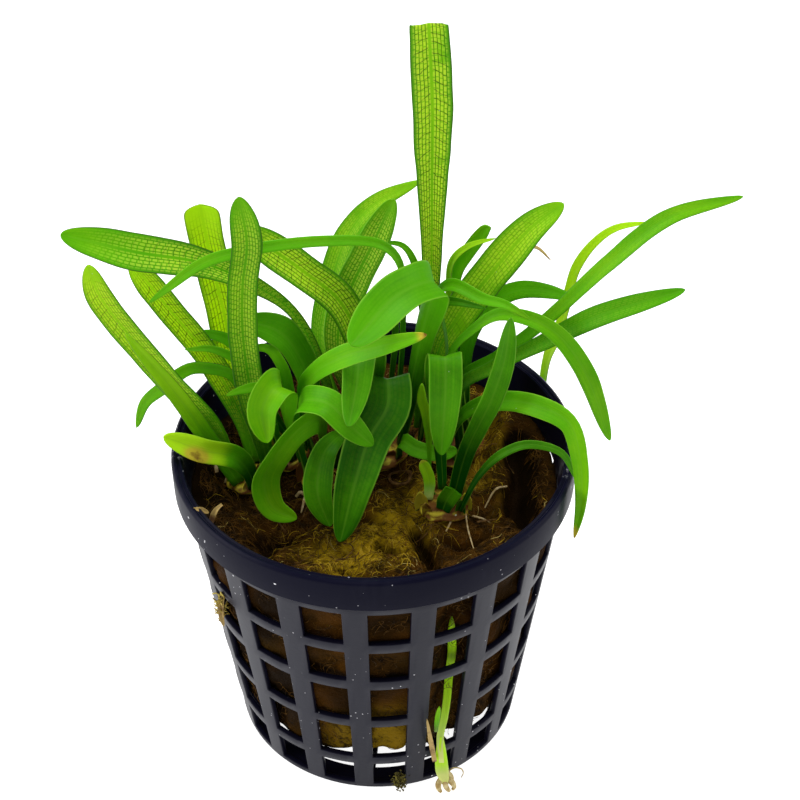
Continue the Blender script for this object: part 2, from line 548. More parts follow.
class Wire:
    """A shader socket that takes part in Python arithmetic."""

    def __init__(self, finish, socket):
        self.finish = finish
        self.socket = socket

    def out(self, name):
        return Wire(self.finish, self.socket.node.outputs[name])

    def math(self, operation, *values):
        return self.finish.node("ShaderNodeMath", {"operation": operation}, values)

    def __add__(self, other):
        return self.math("ADD", self, other)

    __radd__ = __add__

    def __sub__(self, other):
        return self.math("SUBTRACT", self, other)

    def __rsub__(self, other):
        return self.math("SUBTRACT", other, self)

    def __mul__(self, other):
        return self.math("MULTIPLY", self, other)

    __rmul__ = __mul__

    def __abs__(self):
        return self.math("ABSOLUTE", self)

    def fraction(self):
        return self.math("FRACT", self)

    def floor(self):
        return self.math("FLOOR", self)

    def highest(self, other):
        return self.math("MAXIMUM", self, other)

    def step(self, low, high):
        """0 below low, 1 above high and smooth between; falls where low is the higher."""
        edges = {"From Min": min(low, high), "From Max": max(low, high)}
        ends = {"To Min": 0.0, "To Max": 1.0} if low < high else {"To Min": 1.0, "To Max": 0.0}
        settings = {"interpolation_type": "SMOOTHSTEP"}
        return self.finish.node("ShaderNodeMapRange", settings, {"Value": self, **edges, **ends})

    def line(self, low, high):
        """1 along a line once in every unit, at its middle, with its half width from high to low."""
        return abs(self.fraction() - 0.5).step(high, low)


class Finish:
    """A material, with one method that adds any node."""

    def __init__(self, name):
        self.material = bpy.data.materials.new(name)
        self.material.use_nodes = True
        self.tree = self.material.node_tree
        self.tree.nodes.clear()

    def node(self, kind, settings=None, values=(), output=0):
        node = self.tree.nodes.new(kind)
        for key, value in (settings or {}).items():
            setattr(node, key, value)
        pairs = values.items() if isinstance(values, dict) else enumerate(values)
        for key, value in pairs:
            if isinstance(value, Wire):
                self.tree.links.new(value.socket, node.inputs[key])
            else:
                node.inputs[key].default_value = value
        return Wire(self, node.outputs[output])

    def place(self):
        return self.node("ShaderNodeTexCoord", output="Object")

    def attribute(self, name):
        return self.node("ShaderNodeAttribute", {"attribute_name": name}, output="Fac")

    def noise(self, vector, scale, detail=3.0, roughness=0.55):
        values = {"Vector": vector, "Scale": scale, "Detail": detail, "Roughness": roughness}
        return self.node("ShaderNodeTexNoise", {}, values)

    def chance(self, number):
        """A random number for each whole number."""
        return self.node("ShaderNodeTexWhiteNoise", {"noise_dimensions": "1D"}, {"W": number})

    def specks(self, vector, scale, share, size):
        """1 on scattered grains: the share of the cells that have one, and the grain's size in a cell."""
        cells = self.node("ShaderNodeTexVoronoi", {}, {"Vector": vector, "Scale": scale})
        dice = self.node("ShaderNodeSeparateColor", {}, (cells.out("Color"),))
        grain = dice.out("Green") * size + 0.4 * size
        return (grain - cells).step(0, 0.03) * dice.step(1 - share, 1 - 0.9 * share)

    def near(self, vector, centre, reach):
        """1 at a point, falling to 0 at its reach."""
        gap = self.node("ShaderNodeVectorMath", {"operation": "DISTANCE"}, (vector, centre), "Value")
        return gap.step(reach, 0)

    def stretched(self, vector, scale):
        return self.node("ShaderNodeMapping", {}, {"Vector": vector, "Scale": scale})

    def blend(self, share, first, second):
        return self.node("ShaderNodeMix", {"data_type": "RGBA"}, {0: share, 6: first, 7: second}, 2)

    def bump(self, height, distance, strength=1.0):
        return self.node("ShaderNodeBump", {}, {"Height": height, "Distance": distance, "Strength": strength})

    def shader(self, **values):
        named = {key.replace("_", " ").title().replace("Ior", "IOR"): value for key, value in values.items()}
        return self.node("ShaderNodeBsdfPrincipled", {}, named)

    def surface(self, shader):
        output = self.tree.nodes.new("ShaderNodeOutputMaterial")
        self.tree.links.new(shader.socket, output.inputs["Surface"])
        return self.material


def lerp(low, high, share):
    return low + (high - low) * share


def smooth(share):
    share = min(max(share, 0), 1)
    return share * share * (3 - 2 * share)


def add_piece(name, bm, material, slot, *nodes):
    """Turns a bmesh into a smooth piece that rides on the pot and stands for CAD nodes."""
    mesh = bpy.data.meshes.new(name)
    bm.to_mesh(mesh)
    bm.free()
    mesh.materials.append(material)
    mesh.shade_smooth()
    return link_piece(name, mesh, slot, *nodes)


def link_piece(name, mesh, slot, *nodes):
    piece = bpy.data.objects.new(name, mesh)
    bpy.context.scene.collection.objects.link(piece)
    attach(piece, "root")
    if nodes:
        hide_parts(*nodes)
    return piece


def add_modifier(piece, name, kind, **settings):
    modifier = piece.modifiers.new(name, kind)
    for key, value in settings.items():
        setattr(modifier, key, value)


def spline_point(points, share):
    """A point on the centripetal Catmull-Rom curve through the points."""
    place = share * (len(points) - 1)
    index = min(int(place), len(points) - 2)
    weight = place - index
    first, second = points[index], points[index + 1]
    before = points[index - 1] if index else 2 * first - second
    after = points[index + 2] if index + 2 < len(points) else 2 * second - first
    pairs = ((before, first), (first, second), (second, after))
    near, span, far = [max((b - a).length ** 0.5, 1e-6) for a, b in pairs]
    leave = ((first - before) / near - (second - before) / (near + span)) * span + (second - first)
    arrive = (second - first) - ((after - first) / (span + far) - (after - second) / far) * span
    square, cube = weight**2, weight**3
    return (
        first * (2 * cube - 3 * square + 1) + second * (3 * square - 2 * cube)
        + leave * (cube - 2 * square + weight) + arrive * (cube - square)
    )


def route_points(route, places):
    """Points at the given shares of the curve through a route, and the curve's length."""
    points = [Vector(point) * MM for point in route]
    fine = [spline_point(points, i / CURVE_STEPS) for i in range(CURVE_STEPS + 1)]
    lengths = [0.0]
    for a, b in zip(fine, fine[1:]):
        lengths.append(lengths[-1] + (b - a).length)
    result, index = [], 0
    for place in places:
        distance = lengths[-1] * place
        while index < CURVE_STEPS - 1 and lengths[index + 1] < distance:
            index += 1
        span = lengths[index + 1] - lengths[index]
        result.append(fine[index].lerp(fine[index + 1], (distance - lengths[index]) / span))
    return result, lengths[-1]


def midrib_rows(leaf, places):
    """Points of the midrib with the directions along it, across the blade and out of its face."""
    points, _ = route_points(leaf["route"], places)
    low, high = leaf["turn"]
    last = len(points) - 1
    rows = []
    across = None
    for i in range(last, -1, -1):
        along = (points[min(i + 1, last)] - points[max(i - 1, 0)]).normalized()
        if across is None:
            across = along.cross(LIGHT_SIDE)
        across = (across - along * across.dot(along)).normalized()
        turned = Matrix.Rotation(math.radians(lerp(low, high, places[i])), 3, along) @ across
        rows.append((points[i], along, turned, turned.cross(along)))
    return rows[::-1]


def half_width(share, leaf):
    neck, full, tip = leaf["neck"], leaf["full"], leaf["tip"]
    half = leaf["wide"] / 2 * lerp(leaf["foot"], 1, smooth((share - neck) / (full - neck)))
    if tip:
        end = max(0, (share - 1 + tip) / tip)
        rounded = math.sqrt(max(0, 1 - end ** leaf["blunt"]))
        half *= lerp(rounded, 1, leaf["torn"])
    return max(half, 0.05) * MM


def grow_blade(bm, leaf, thickness, seed, section=20):
    """Adds one blade: a flat bar with rounded edges, warped along its midrib, thicker at the foot."""
    leaf = {**PLAIN_LEAF, **leaf}
    marks = {key: bm.verts.layers.float.get(key) or bm.verts.layers.float.new(key) for key in MARKS}
    dice = random.Random(seed)
    _, length = route_points(leaf["route"], (0, 1))
    steps = max(18, min(76, int(length / (0.7 * MM))))
    places = [1 - (1 - i / steps) ** 1.5 for i in range(steps + 1)]
    rows = midrib_rows(leaf, places)
    verts = bmesh.ops.create_grid(bm, x_segments=section, y_segments=steps, size=0.5)["verts"]
    fold, base_thick = leaf["fold"], leaf["thick"] * MM
    wave, phase, pitch = dice.uniform(0.05, 0.2) * MM, dice.uniform(0, 6), dice.uniform(5, 9) * MM
    torn, plain = leaf["torn"], leaf["plain"]
    for v in verts:
        row = round((v.co.y + 0.5) * steps)
        share = places[row]
        around = math.tau * round((v.co.x + 0.5) * section) / section
        side = math.copysign(abs(math.cos(around)) ** 0.7, math.cos(around))
        face = math.sin(around)
        uneven = 1 + 0.05 * noise.noise(Vector((share * length / (4 * MM), side * 0.4, seed)))
        half = half_width(share, leaf) * uneven
        point, along, across, out = rows[row]
        thin = lerp(base_thick, thickness, smooth(share / 0.3)) / 2
        ridge = math.exp(-((side / 0.12) ** 2)) * 0.07 * MM * smooth(half / MM)
        lift = 2 * half * fold * (2 * math.sqrt(side * side + 0.03) - 1) - ridge * (1 if face > 0 else 0.4)
        lift += wave * math.sin(share * length / pitch + phase + side) * side * side * smooth(share * 3)
        ragged = noise.noise(Vector((side * 2.5, seed, 0))) * 0.5 * MM if torn and share > 0.985 else 0
        v.co = point + across * side * half + out * (face * thin + lift) + along * ragged
        patch = noise.noise(point * 160 + Vector((seed, side * 0.6, 0)))
        ripe = leaf["ripe"] * smooth((share - 0.35) / 0.35)
        v[marks["side"]] = side
        v[marks["run"]] = share * length / MM
        shade = 0.42 * (1 - smooth(share / 0.5))
        v[marks["tone"]] = leaf["tone"] + 0.1 * patch + 0.12 * (share - 0.5) + ripe - shade
        fade = smooth((1 - share) / plain) if plain else 1
        v[marks["net"]] = leaf["net"] * smooth((share - 0.05) / 0.35) * fade
        v[marks["glow"]] = leaf["glow"] * smooth((share + 0.05) / 0.35)
        end = smooth((share - leaf["sound"]) / 0.06)
        blot = leaf["spots"] * math.exp(-(((share - 0.72) / 0.09) ** 2) - ((side + 0.55) / 0.6) ** 2)
        v[marks["age"]] = leaf["age"] * end + blot
        v[marks["pale"]] = leaf["pale"] * smooth(1 - share / 0.5)
    bmesh.ops.remove_doubles(bm, verts=verts, dist=MERGE)
    rims = {e for v in verts if v.is_valid for e in v.link_edges if e.is_boundary}
    bmesh.ops.holes_fill(bm, edges=list(rims), sides=section)
    bmesh.ops.recalc_face_normals(bm, faces=bm.faces)


def add_blade(name, leaf, thickness, seed, material, slot, *nodes, section=20):
    """A piece of one blade."""
    bm = bmesh.new()
    grow_blade(bm, leaf, thickness, seed, section)
    add_piece(name, bm, material, slot, *nodes)


def turn_profile(bm, profile, steps, closed=False):
    """Turns a line of radii and heights round the axis of the pot."""
    chain = [bm.verts.new((0, -radius, z)) for radius, z in profile]
    ends = chain[1:] + chain[:1] if closed else chain[1:]
    edges = [bm.edges.new(pair) for pair in zip(chain, ends)]
    bmesh.ops.spin(
        bm, geom=chain + edges, cent=(0, 0, 0), axis=(0, 0, 1), angle=math.tau, steps=steps, use_merge=True
    )
    bmesh.ops.remove_doubles(bm, verts=bm.verts, dist=MERGE)
    bmesh.ops.recalc_face_normals(bm, faces=bm.faces)


def tubes(name, strands, material, slot, sides=0):
    """A piece of many thin tubes. Each strand is its points and its radii."""
    curve = bpy.data.curves.new(name, "CURVE")
    curve.dimensions = "3D"
    curve.bevel_depth = 1
    curve.bevel_resolution = sides
    curve.use_fill_caps = True
    for points, radii in strands:
        spline = curve.splines.new("POLY")
        spline.points.add(len(points) - 1)
        for at, point, radius in zip(spline.points, points, radii):
            at.co = (*point, 1)
            at.radius = radius
    holder = bpy.data.objects.new(name, curve)
    mesh = bpy.data.meshes.new_from_object(holder)
    bpy.data.objects.remove(holder)
    bpy.data.curves.remove(curve)
    mesh.name = name
    mesh.materials.clear()
    mesh.materials.append(material)
    mesh.shade_smooth()
    link_piece(name, mesh, slot)


def wool_side(z):
    """Radius of the inner face of the wall."""
    pot = bpy.context.scene.sagittaria_pot
    share = z / (pot.height - pot.band)
    return lerp(pot.foot_radius, pot.wall_top_radius, share) - pot.wall


def path_gap(path, x, y):
    """Distance in the plane from a point to a path, in millimetres."""
    best = 1e9
    for (ax, ay), (bx, by) in zip(path, path[1:]):
        reach = (bx - ax) ** 2 + (by - ay) ** 2
        share = min(max(((x - ax) * (bx - ax) + (y - ay) * (by - ay)) / reach, 0), 1)
        best = min(best, math.hypot(x - lerp(ax, bx, share), y - lerp(ay, by, share)))
    return best


def wool_cleft(x, y):
    """Depth in millimetres of the dark clefts at a place on the wool."""
    wander = 0.8 * noise.noise(Vector((x, y, 5)) * 0.35)
    deep = 0
    for path, half, depth in CLEFTS:
        deep = max(deep, depth * math.exp(-((max(0, path_gap(path, x, y) + wander) / half) ** 2)))
    return deep


def wool_height(x, y):
    """Height of the top of the wool in metres: soft mats, clefts, and an edge drawn up the wall."""
    x, y = x / MM, y / MM
    point = Vector((x, y, 0))
    clear = min(math.hypot(x - cx, y - cy) - radius for cx, cy, radius in CROWNS.values())
    rise = (3.4 + 0.9 * smooth((y + 8) / 12)) * smooth((point.length - 15.5) / 6) * smooth(clear / 2.5)
    for mx, my, reach, tall in MOUNDS:
        rise += tall * math.exp(-(((x - mx) ** 2 + (y - my) ** 2) / reach**2))
    edge = smooth((point.length - 18.5) / 4)
    mats = 0.9 - 2.4 * abs(noise.noise(point * 0.12 + Vector((4, 0, 0))))
    mats *= 1 - 0.8 * edge
    mats += 0.6 * (1 - 0.7 * edge) * noise.noise(point * 0.3)
    lumps = 0.1 * noise.noise(point * 0.3) + 0.32 * noise.noise(point * 0.75)
    lumps += 0.12 * noise.noise(point * 1.9)
    return (WOOL_TOP + rise + mats + lumps - wool_cleft(x, y)) * MM


def wool_gold(x, y):
    """How golden the wool is: most along a ridge at the front, some at the right, and little elsewhere."""
    x, y = x / MM, y / MM
    front = 0.9 * math.exp(-((path_gap(GOLDEN_RIDGE, x, y) / 4.8) ** 2))
    right = 0.5 * math.exp(-(((x - 15) / 4) ** 2) - ((y - 8) / 8) ** 2)
    return min(1, max(front, right) + 0.35 * max(0, noise.noise(Vector((x, y, 9)) * 0.3)))


def pot_plastic(pot, name, gloss, dusty):
    """Satin plastic with a haze, specks of dust and two scuffs."""
    finish = Finish(name)
    place = finish.place()
    cloud = finish.noise(place, 70.0)
    fine = finish.noise(place, 1400.0, 2.0)
    streak = finish.noise(finish.stretched(place, (1.0, 1.0, 0.12)), 420.0, 4.0)
    grains = finish.specks(place, 1150.0, 0.45, 0.12) * cloud.step(0.44, 0.58)
    crumbs = finish.specks(finish.stretched(place, (1.0, 1.0, 1.6)), 330.0, dusty, 0.07)
    speck = grains.highest(crumbs)
    haze = cloud.step(0.42, 0.75) * streak.step(0.45, 0.8)
    scratched = finish.noise(finish.stretched(place, (1.0, 1.0, 0.5)), 1500.0, 4.0, 0.7).step(0.53, 0.66)
    scuffs = None
    for centre, reach in SCUFFS:
        spot = finish.near(place, tuple(Vector(centre) * MM), reach * MM)
        scuffs = spot if scuffs is None else scuffs.highest(spot)
    scuff = scuffs.step(0.15, 0.8) * scratched * 0.8
    colour = finish.blend(haze * 0.1, tuple(pot.plastic), PLASTIC_HAZE)
    colour = finish.blend(speck.highest(scuff), colour, tuple(pot.dust))
    rough = 0.3 + 0.18 * cloud + 0.12 * haze + 0.3 * speck
    normal = finish.bump(fine * 0.5 + streak * 0.4 + speck * 3, 0.00002)
    shader = finish.shader(base_color=colour, roughness=rough, normal=normal, specular_ior_level=gloss)
    return finish.surface(shader)


def wool_finish(settings):
    """The matted body of the wool, wet, dark in its clefts and golden where it is in the light."""
    finish = Finish("Mineral wool")
    place = finish.place()
    matted = finish.noise(place, 520.0, 5.0, 0.65)
    clump = finish.noise(place, 150.0, 3.0)
    strands = finish.noise(finish.stretched(place, (1.0, 3.0, 1.5)), 1500.0, 3.0, 0.7)
    lit = (matted * 0.9 + clump * 0.7 + strands * 0.5 - 0.72).step(0.1, 0.45)
    warm = finish.blend(clump.step(0.45, 0.62), tuple(settings.brown), WARM_WOOL)
    colour = finish.blend(finish.attribute("gold").step(0.1, 0.9), warm, tuple(settings.golden))
    colour = finish.blend((1 - lit).highest(finish.attribute("hollow")), colour, tuple(settings.dark))
    normal = finish.bump(matted + strands * 0.6, 0.00045)
    shader = finish.shader(
        base_color=colour, roughness=0.4 + 0.3 * matted, normal=normal, specular_ior_level=0.01
    )
    return finish.surface(shader)


def strand_finish(kind):
    finish = Finish(kind.title() + " strands")
    place = finish.place()
    clump = finish.noise(place, 600.0, 3.0)
    colour = finish.blend(clump.step(0.38, 0.62), *STRAND_TINTS[kind])
    normal = finish.bump(finish.noise(place, 4000.0, 2.0), 0.00002)
    roughness = 0.35 + 0.3 * clump
    shader = finish.shader(base_color=colour, roughness=roughness, normal=normal, specular_ior_level=0.08)
    return finish.surface(shader)


def leaf_finish(settings, name):
    """Leaf tissue: a net of light cells between dark veins, a margin, withered tips and dust."""
    finish = Finish(name)
    place = finish.place()
    marks = {key: finish.attribute(key) for key in MARKS}
    side, run, net = marks["side"], marks["run"], marks["net"]
    edge = abs(side)
    bend = finish.noise(place, 420.0, 2.0) - 0.5
    mottle = finish.noise(place, 700.0, 4.0, 0.6)
    columns = side * 5.5 + bend * 0.5
    steps = run * 1.25 + finish.chance(columns.floor()) * 7 + bend
    cross = run * 0.72 + edge * 0.7 + side.step(-0.01, 0.01) * 0.45 + bend * 1.2
    inside = edge.step(0.92, 0.66) * edge.step(0.05, 0.12) * net
    patchy = finish.noise(place, 300.0).step(0.25, 0.45)
    cells = columns.line(0.26, 0.42) * steps.line(0.32, 0.46) * patchy * inside
    veins = (1 - columns.line(0.36, 0.47)).highest(1 - cross.line(0.43, 0.48)) * inside
    stripes = finish.noise(finish.node("ShaderNodeCombineXYZ", {}, (side * 9, run * 0.12, 0.0)), 1.0, 2.0)
    border = edge.step(0.55, 0.9) * net
    tone = marks["tone"] + (stripes - 0.5) * 0.22 + (mottle - 0.5) * 0.14 - border * 0.38
    green = finish.blend(tone.step(0.0, 0.5), tuple(settings.deep), tuple(settings.fresh))
    green = finish.blend(tone.step(0.45, 1.0), green, tuple(settings.bright))
    colour = finish.blend(cells * 0.95, green, LEAF_TINTS["cell"])
    colour = finish.blend(veins * 0.9, colour, LEAF_TINTS["vein"])
    colour = finish.blend(edge.step(0.12, 0.03) * (1 - net) * 0.25, colour, LEAF_TINTS["midrib"])
    thin = marks["glow"].step(0.28, 0.36)
    margin_tint = finish.blend(thin, LEAF_TINTS["light_margin"], LEAF_TINTS["dark_margin"])
    margin = edge.step(0.89, 0.975)
    colour = finish.blend(margin * (0.4 + 0.45 * thin), colour, margin_tint)
    colour = finish.blend(marks["pale"], colour, LEAF_TINTS["foot"])
    yellow = marks["age"].step(0.02, 0.45)
    brown = (marks["age"] + (mottle - 0.5) * 1.1).step(0.5, 0.85)
    colour = finish.blend(yellow, colour, LEAF_TINTS["yellow"])
    colour = finish.blend(brown, colour, LEAF_TINTS["brown"])
    dust = finish.specks(place, 900.0, 0.03, 0.12)
    colour = finish.blend(dust * 0.8, colour, LEAF_TINTS["dust"])
    rough = 0.38 + 0.14 * mottle + 0.1 * veins
    relief = stripes * 0.8 + mottle * 0.35 - veins * 0.7
    normal = finish.bump(relief, 0.00005, 0.7)
    body = finish.shader(base_color=colour, roughness=rough, normal=normal, specular_ior_level=0.08)
    lights = [
        finish.node("ShaderNodeBsdfTranslucent", {}, {"Color": LEAF_TINTS[tint]})
        for tint in ("green_light", "yellow_light")
    ]
    bright = (marks["tone"] + cells * 0.4).step(0.5, 1.0)
    through = finish.node("ShaderNodeMixShader", {}, (bright, *lights))
    share = marks["glow"] * (0.8 + cells * 0.65 - veins * 0.75 - border * 0.3) * (1 - yellow * 0.6)
    share = share * (1 - margin * 0.7)
    return finish.surface(finish.node("ShaderNodeMixShader", {}, (share, body, through)))


def dry_finish():
    finish = Finish("Dry sheath")
    place = finish.place()
    fibre = finish.noise(finish.stretched(place, (1.0, 1.0, 0.15)), 2600.0, 3.0)
    blot = finish.noise(place, 500.0, 3.0)
    colour = finish.blend(fibre, *DRY_TINTS[:2])
    colour = finish.blend(blot.step(0.5, 0.7), colour, DRY_TINTS[2])
    shader = finish.shader(base_color=colour, roughness=0.6 + 0.2 * blot, normal=finish.bump(fibre, 0.0001))
    return finish.surface(shader)


def root_finish(name):
    finish = Finish(name)
    place = finish.place()
    grain = finish.noise(place, 1500.0, 3.0)
    colour = finish.blend(grain.step(0.35, 0.7), *ROOT_TINTS[name])
    rough, normal = 0.45 + 0.2 * grain, finish.bump(grain, 0.0001)
    shader = finish.shader(base_color=colour, roughness=rough, normal=normal, specular_ior_level=0.12)
    return finish.surface(shader)


def window_grid(pot):
    """The foot and the wall as one sheet, with its floor ring and windows open."""
    window, rib = WINDOW_ANGLE / WINDOW_CELLS, (360 / COLUMNS - WINDOW_ANGLE) / RIB_CELLS
    column_cells = WINDOW_CELLS + RIB_CELLS
    angles, opening = [FIRST_COLUMN - WINDOW_ANGLE / 2], []
    for _ in range(COLUMNS):
        for k in range(column_cells):
            opening.append(k < WINDOW_CELLS)
            angles.append(angles[-1] + (window if opening[-1] else rib))
    wall_top = (pot.height - pot.band) / MM + 0.4
    slope = (pot.wall_top_radius - pot.foot_radius) / (pot.height - pot.band)
    rows = [(1, 0), (FLOOR_INNER, 0), (FLOOR_OUTER, 0), (pot.foot_radius / MM, 0)]
    wall_row = len(rows)
    for z in (*ROW_EDGES, wall_top):
        rows.append((pot.foot_radius / MM + slope * z, z))
    bm = bmesh.new()
    cells = len(opening)
    bmesh.ops.create_grid(bm, x_segments=cells, y_segments=len(rows) - 1, size=0.5)
    where = {}
    for v in bm.verts:
        i, j = round((v.co.x + 0.5) * cells), round((v.co.y + 0.5) * (len(rows) - 1))
        radius, z = rows[j]
        angle = angles[i]
        if j in (1, 2):
            spoke = round((i - SPOKE_MIDDLE) / SPOKE_CELLS)
            off = i - SPOKE_MIDDLE - SPOKE_CELLS * spoke
            side = math.degrees(math.asin(SPOKE_WIDTH / 2 / radius))
            spread = lerp(side, SPOKE_ANGLE / 2, (abs(off) - 0.5) / (SPOKE_CELLS / 2 - 0.5))
            angle = FIRST_SPOKE + SPOKE_ANGLE * spoke + math.copysign(spread, off)
        where[v] = (i, j)
        turn = math.radians(angle)
        v.co = Vector((radius * math.sin(turn), -radius * math.cos(turn), z)) * MM
    doomed = []
    for face in bm.faces:
        column = min(where[v][0] for v in face.verts)
        row = min(where[v][1] for v in face.verts)
        if row == 1 and column % SPOKE_CELLS != int(SPOKE_MIDDLE):
            doomed.append(face)
        if row >= wall_row and opening[column]:
            is_window = (row - wall_row) % 2 == 0 and row < len(rows) - 2
            if is_window or (column // column_cells, row) == BROKEN_RIB:
                doomed.append(face)
    bmesh.ops.delete(bm, geom=doomed, context="FACES")
    bmesh.ops.remove_doubles(bm, verts=bm.verts, dist=MERGE)
    hole = [e for e in bm.edges if e.is_boundary and all(v.co.xy.length < 1.5 * MM for v in e.verts)]
    bmesh.ops.contextual_create(bm, geom=hole)
    bmesh.ops.recalc_face_normals(bm, faces=bm.faces)
    low = min(bm.faces, key=lambda f: f.calc_center_median().z)
    if low.normal.z > 0:
        bmesh.ops.reverse_faces(bm, faces=bm.faces)
    return bm


def rim_ring(pot):
    """The band round the top, turned from its section."""
    outer, top, low = pot.rim_radius, pot.height, pot.height - pot.band
    section = [
        (outer - 0.0002, low), (outer - 0.00005, low + 0.0002), (outer, top - 0.0006),
        (outer - 0.00012, top - 0.00022), (outer - 0.0004, top), (outer - 0.0007, top - 0.00006),
        (outer - 0.00085, top - 0.0003), (outer - 0.00105, top - 0.0003), (outer - 0.00125, top - 0.00012),
        (outer - 0.00145, top - 0.0003), (outer - 0.0021, low), (outer - 0.0019, low - 0.0002),
        (outer - 0.0012, low - 0.0001), (outer - 0.001, low),
    ]
    bm = bmesh.new()
    turn_profile(bm, section, 126, closed=True)
    return bm


class SAGITTARIA_OT_pot(Operator):
    """Moulds the net pot with its windows, floor and rim"""

    bl_idname = "sagittaria.pot"
    bl_label = "Net Pot"

    def execute(self, context):
        pot = context.scene.sagittaria_pot
        wall_plastic = pot_plastic(pot, "Wall plastic", 0.16, 0.08)
        wall = add_piece("net_pot_wall", window_grid(pot), wall_plastic, "pot", "net_pot")
        add_modifier(wall, "Wall", "SOLIDIFY", thickness=pot.wall, offset=-1, use_even_offset=True)
        rounding = dict(width=EDGE_RADIUS * MM, segments=2, limit_method="ANGLE", angle_limit=SHARP_ANGLE)
        add_modifier(wall, "Edges", "BEVEL", **rounding)
        rim = add_piece("net_pot_rim", rim_ring(pot), pot_plastic(pot, "Rim plastic", 0.05, 0.2), "pot")
        for piece in (wall, rim):
            piece.data.set_sharp_from_angle(angle=SHARP_ANGLE)
        return {"FINISHED"}


class SAGITTARIA_OT_wool(Operator):
    """Packs the mineral wool and frays its fibres"""

    bl_idname = "sagittaria.wool"
    bl_label = "Mineral Wool"

    def execute(self, context):
        settings = context.scene.sagittaria_wool
        self.pack_plug(settings)
        kinds = {kind: strand_finish(kind) for kind in STRAND_TINTS}
        kinds["back"] = kinds["brown"]
        dice = random.Random(7)
        groups = {kind: [] for kind in kinds}
        for _ in range(settings.fibres):
            points, radii = self.top_strand(dice, settings.strand)
            gold = wool_gold(*points[0][:2])
            kind = "gold" if dice.random() < 0.85 * gold else "brown"
            if dice.random() < 0.006 + 0.02 * gold:
                kind = "pale"
            middle = points[STRAND_POINTS // 2] / MM
            if kind == "brown" and middle.y > 2:
                kind = "back"
            if wool_cleft(middle.x, middle.y) < 1:
                groups[kind].append((points, radii))
        for kind, strands in groups.items():
            tubes("wool_fibres_" + kind, strands, kinds[kind], "wool")
        strands = [self.side_strand(dice, settings.strand) for _ in range(settings.side_fibres)]
        tubes("wool_fibres_side", strands, kinds["brown"], "wool")
        return {"FINISHED"}

    def pack_plug(self, settings):
        """The body of the wool: a turned plug whose top and sides are then lumped and cleft."""
        bm = bmesh.new()
        hollow, gold = bm.verts.layers.float.new("hollow"), bm.verts.layers.float.new("gold")
        base, edge = WOOL_LOW.z, WOOL_EDGE * MM
        wide = wool_side(edge)
        profile = [(wool_side(base) * share, base) for share in (0, 0.3, 0.6, 0.8, 0.95)]
        profile += [(wool_side(z), z) for z in (lerp(base, edge, i / 44) for i in range(45))]
        profile += [(wide * (1 - i / 64), edge) for i in range(1, 65)]
        turn_profile(bm, profile, 220)
        for v in bm.verts:
            x, y, z = v.co
            radius = math.hypot(x, y)
            turn = math.degrees(math.atan2(x, -y))
            inner = radius / wool_side(z)
            if z > edge - 1e-5:
                height = wool_height(x, y)
                left = smooth((-x / MM - 5) / 5) + 0.4 * smooth((-x / MM - 17) / 4)
                wall = smooth((radius / MM - 19) / 4) * smooth((y / MM + 16) / 6)
                v[hollow] = 0.95 * min(1, wool_cleft(x / MM, y / MM) / 1.8) + 0.6 * left + 0.6 * wall
                v[gold] = wool_gold(x, y)
            else:
                share = (z - base) / (edge - base)
                rim = wool_height(x / radius * wide, y / radius * wide) if radius else edge
                low = 1.9 * math.exp(-((turn + 42) / 30) ** 2) + 1.8 * math.exp(-((turn - 27) / 8) ** 2)
                tuft = (0.9 * noise.noise(v.co * 420) + 0.55 + low) * MM * (1 - smooth(share * 6))
                height = lerp(base, rim, share) - tuft + 0.5 * MM
                front, lower = math.exp(-((turn - 2) / 26) ** 2), smooth(1.15 - share * 2.6)
                left = 0.3 * smooth((-x / MM - 6) / 8)
                v[hollow] = 0.6 + 0.5 * noise.noise(v.co * 200) - 0.35 * front * lower + left
                v[gold] = 0.05 + 0.5 * front * lower + 0.25 * noise.noise(v.co * 90)
            groove = 0
            for angle, spread, depth in GROOVES:
                away = (turn - angle) / spread
                groove += depth * MM * math.exp(-away * away)
            dent = max(-0.2, 0.25 + 0.9 * noise.noise(v.co * 240) + 0.35 * noise.noise(v.co * 700)) * MM
            dent = (dent + groove) * smooth((inner - 0.8) / 0.2) * smooth((edge + MM - z) / (5 * MM))
            grow = wool_side(min(height, 0.042)) / wool_side(z) if inner > 0.5 else 1
            grow = lerp(1, grow, smooth((inner - 0.5) / 0.5))
            shrink = grow * (radius - dent) / radius if radius > abs(dent) else 1
            v.co = Vector((x * shrink, y * shrink, height))
        add_piece("mineral_wool", bm, wool_finish(settings), "wool", "wool_plug")

    def top_strand(self, dice, thick):
        angle, radius = dice.uniform(0, math.tau), 0.0238 * math.sqrt(dice.random())
        x, y = radius * math.cos(angle), radius * math.sin(angle)
        flow = noise.noise(Vector((x, y, 0.02)) * 110) * 9
        heading, lift = flow + dice.gauss(0, 0.6), dice.uniform(0, 0.6) * MM
        curl, step = dice.gauss(0, 0.3), dice.uniform(0.2, 0.6) * MM
        points = []
        for k in range(STRAND_POINTS):
            rise = lift * math.sin(math.pi * k / (STRAND_POINTS - 1))
            points.append(Vector((x, y, wool_height(x, y) + rise + 0.03 * MM)))
            heading += curl + dice.gauss(0, 0.2)
            x, y = x + step * math.cos(heading), y + step * math.sin(heading)
            if math.hypot(x, y) > 0.0242:
                x, y = 0.98 * x, 0.98 * y
        return points, [thick * dice.uniform(0.6, 1.4)] * STRAND_POINTS

